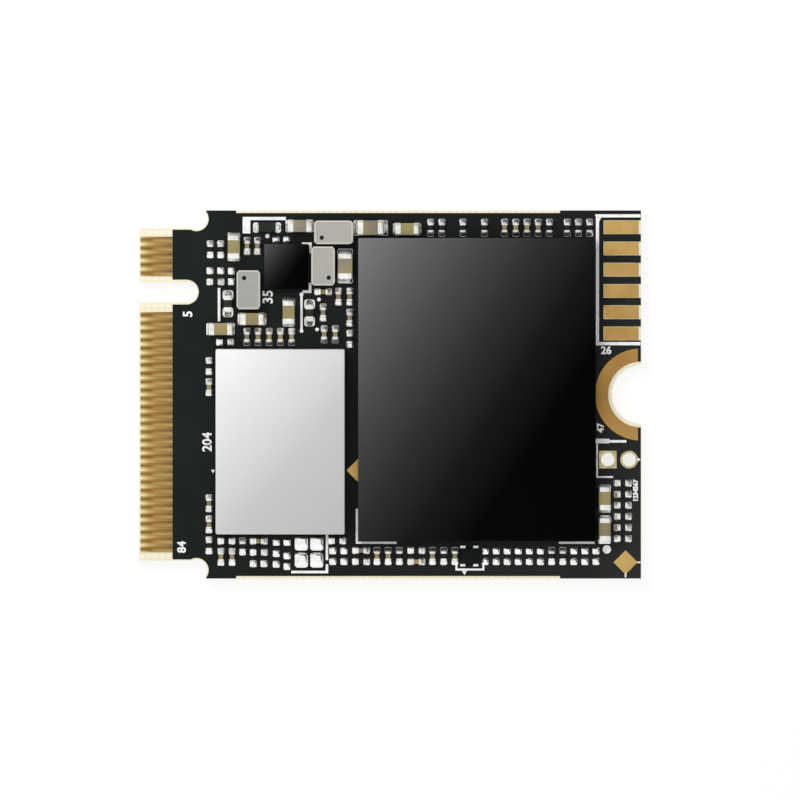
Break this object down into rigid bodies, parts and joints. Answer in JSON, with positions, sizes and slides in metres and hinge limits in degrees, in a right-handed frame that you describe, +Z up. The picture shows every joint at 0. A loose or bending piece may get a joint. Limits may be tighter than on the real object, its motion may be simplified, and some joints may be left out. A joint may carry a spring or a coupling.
{
  "type": "m2 nvme ssd",
  "caption": "M.2 solid state drive card, 22 by 30 mm, M key, with flash memory, lidded controller and power parts on its upper side.",
  "frame": {"origin": "middle of the board's underside, where it rests", "axes": "+X along the board from the gold fingers to the screw notch, +Y across it towards the key notch, +Z up out of the side with the parts"},
  "size_m": [0.03, 0.022, 0.0019],
  "materials": {
    "laminate_and_mask": "satin",
    "hard_gold": "satin",
    "flash_gold": "satin",
    "solder": "gloss",
    "tin": "satin",
    "substrate": "satin",
    "black_mould": "satin",
    "nickel_lid": "satin",
    "silicon": "gloss",
    "thermal_paste": "matte",
    "grey_mould": "matte",
    "tan_ceramic": "satin",
    "black_glaze": "gloss"
  },
  "bodies": {
    "root": {"circuit_board": "laminate_and_mask", "contact_fingers_top": "hard_gold", "contact_fingers_bottom": "hard_gold", "mounting_ring_top": "flash_gold", "mounting_ring_bottom": "flash_gold", "header_square_hole": "flash_gold", "header_round_hole": "flash_gold", "programming_pads": "flash_gold", "diamond_pads": "flash_gold", "flash_balls": "solder", "flash_substrate": "substrate", "flash_mould": "black_mould", "controller_balls": "solder", "controller_substrate": "substrate", "controller_lid": "nickel_lid", "controller_die": "silicon", "controller_thermal_paste": "thermal_paste", "power_chip_body": "black_mould", "power_chip_contacts": "solder", "inductor_bodies": "grey_mould", "inductor_terminals": "tin", "large_capacitor_bodies": "tan_ceramic", "large_capacitor_terminals": "tin", "medium_capacitor_bodies": "tan_ceramic", "medium_capacitor_terminals": "tin", "small_capacitor_bodies": "tan_ceramic", "small_capacitor_terminals": "tin", "small_resistor_bodies": "black_glaze", "small_resistor_terminals": "tin", "ferrite_bodies": "black_glaze", "ferrite_terminals": "tin", "diode_bodies": "black_mould", "diode_terminals": "tin", "switch_chip_body": "black_mould", "switch_chip_leads": "tin", "small_part_pads": "tin", "large_part_pads": "tin", "spare_pads": "tin", "solder_fillets": "solder", "crystal_pads": "solder"}
  },
  "joints": []
}
